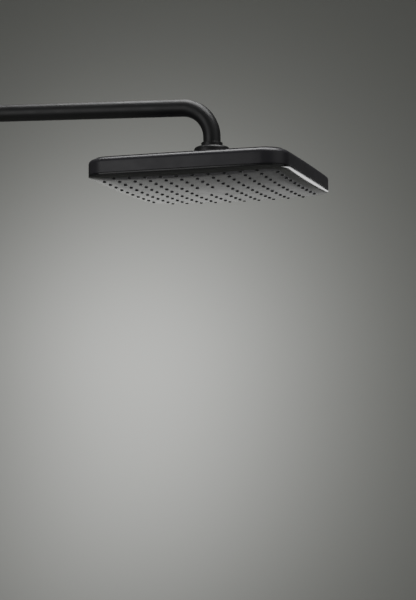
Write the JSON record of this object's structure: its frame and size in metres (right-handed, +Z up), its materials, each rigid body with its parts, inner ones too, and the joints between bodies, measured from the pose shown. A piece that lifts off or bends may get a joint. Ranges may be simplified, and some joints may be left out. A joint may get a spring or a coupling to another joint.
{
  "type": "overhead rain shower",
  "caption": "Wall-mounted overhead rain shower: a soft-square rain head hung by a ball joint from a curved round arm.",
  "frame": {"origin": "centre of the arm's pipe thread in the plane of the wall's face", "axes": "+X out from the wall along the arm, +Z up, +Y to the left of someone who stands at the wall and looks out; the spray face looks down, along -Z"},
  "size_m": [0.5453, 0.2546, 0.1517],
  "materials": {
    "black_coated_metal": "matte black powder coat with a soft sheen",
    "black_cover": "satin anthracite coat",
    "black_bezel": "glossy black",
    "grey_face": "glossy dark grey",
    "nozzle_silicone": "soft black silicone",
    "black_rubber": "black rubber",
    "white_plastic": "natural white moulded plastic",
    "brass": "machined brass",
    "steel": "plain steel screws"
  },
  "bodies": {
    "arm": {"arm_tube": "black_coated_metal", "wall_connector": "brass", "outlet_nipple": "brass", "flow_limiter": "white_plastic", "filter_washer": "black_rubber", "ball_connector": "black_coated_metal", "joint_cap": "black_coated_metal"},
    "rose": {"wall_rose": "black_coated_metal", "rose_seal": "black_rubber"},
    "upper_seat": {"upper_ball_seat": "white_plastic"},
    "lower_seat": {"lower_ball_seat": "white_plastic"},
    "head": {"ball_seal": "black_rubber", "ball_nut": "black_coated_metal", "ball_socket": "brass", "socket_gasket": "black_rubber", "top_cover": "black_cover", "bezel_ring": "black_bezel", "face_plate": "grey_face", "nozzle_mat": "nozzle_silicone", "water_chamber": "white_plastic", "chamber_gasket": "black_rubber", "inlet_screw_1": "steel", "inlet_screw_2": "steel", "inlet_screw_3": "steel", "inlet_screw_4": "steel", "chamber_screw_1": "steel", "chamber_screw_2": "steel", "chamber_screw_3": "steel", "chamber_screw_4": "steel", "chamber_screw_5": "steel", "chamber_screw_6": "steel", "chamber_screw_7": "steel", "chamber_screw_8": "steel"}
  },
  "joints": [
    {"name": "rose_slide", "type": "slide", "parent": "arm", "child": "rose", "axis": [1, 0, 0], "range_m": [0, 0.03]},
    {"name": "tilt_side", "type": "hinge", "parent": "arm", "child": "upper_seat", "pos_m": [0.4, 0, -0.08874], "axis": [1, 0, 0], "range_deg": [-15, 15]},
    {"name": "tilt_front", "type": "hinge", "parent": "upper_seat", "child": "lower_seat", "pos_m": [0.4, 0, -0.08874], "axis": [0, 1, 0], "range_deg": [-15, 15]},
    {"name": "swivel", "type": "hinge", "parent": "lower_seat", "child": "head", "pos_m": [0.4, 0, -0.08874], "axis": [0, 0, 1], "continuous": true}
  ]
}
